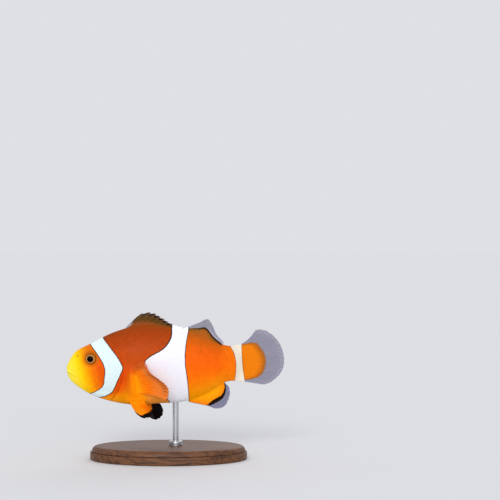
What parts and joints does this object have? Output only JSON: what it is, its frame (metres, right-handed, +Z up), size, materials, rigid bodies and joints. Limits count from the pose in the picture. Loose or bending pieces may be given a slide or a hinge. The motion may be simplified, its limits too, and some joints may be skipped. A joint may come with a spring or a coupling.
{
  "type": "clownfish display model",
  "caption": "Life-size orange and white clownfish swimming with a curved tail, its fins spread, held on an oval wooden base by a slim steel rod.",
  "frame": {"origin": "middle of the stand's flat underside", "axes": "+Z up, -X the way the fish faces, +Y to the fish's right"},
  "size_m": [0.0809, 0.036, 0.0544],
  "materials": {
    "skin": "small overlapping scales painted orange, yellow and white, under a satin gloss",
    "fin": "thin ribbed fins, orange with black and clear borders",
    "eye": "polished",
    "base_wood": "dark, satin",
    "rod_steel": "brushed"
  },
  "bodies": {
    "root": {"head": "skin", "lower_jaw": "skin", "gill_cover_left": "skin", "gill_cover_right": "skin", "eye_left": "eye", "eye_right": "eye", "trunk": "skin", "tail_stalk": "skin", "dorsal_fin_spiny": "fin", "dorsal_fin_soft": "fin", "anal_fin": "fin", "tail_fin": "fin", "pectoral_fin_left": "fin", "pectoral_fin_right": "fin", "pelvic_fin_left": "fin", "pelvic_fin_right": "fin", "stand_base": "base_wood", "stand_rod": "rod_steel", "stand_collar": "rod_steel"}
  },
  "joints": []
}
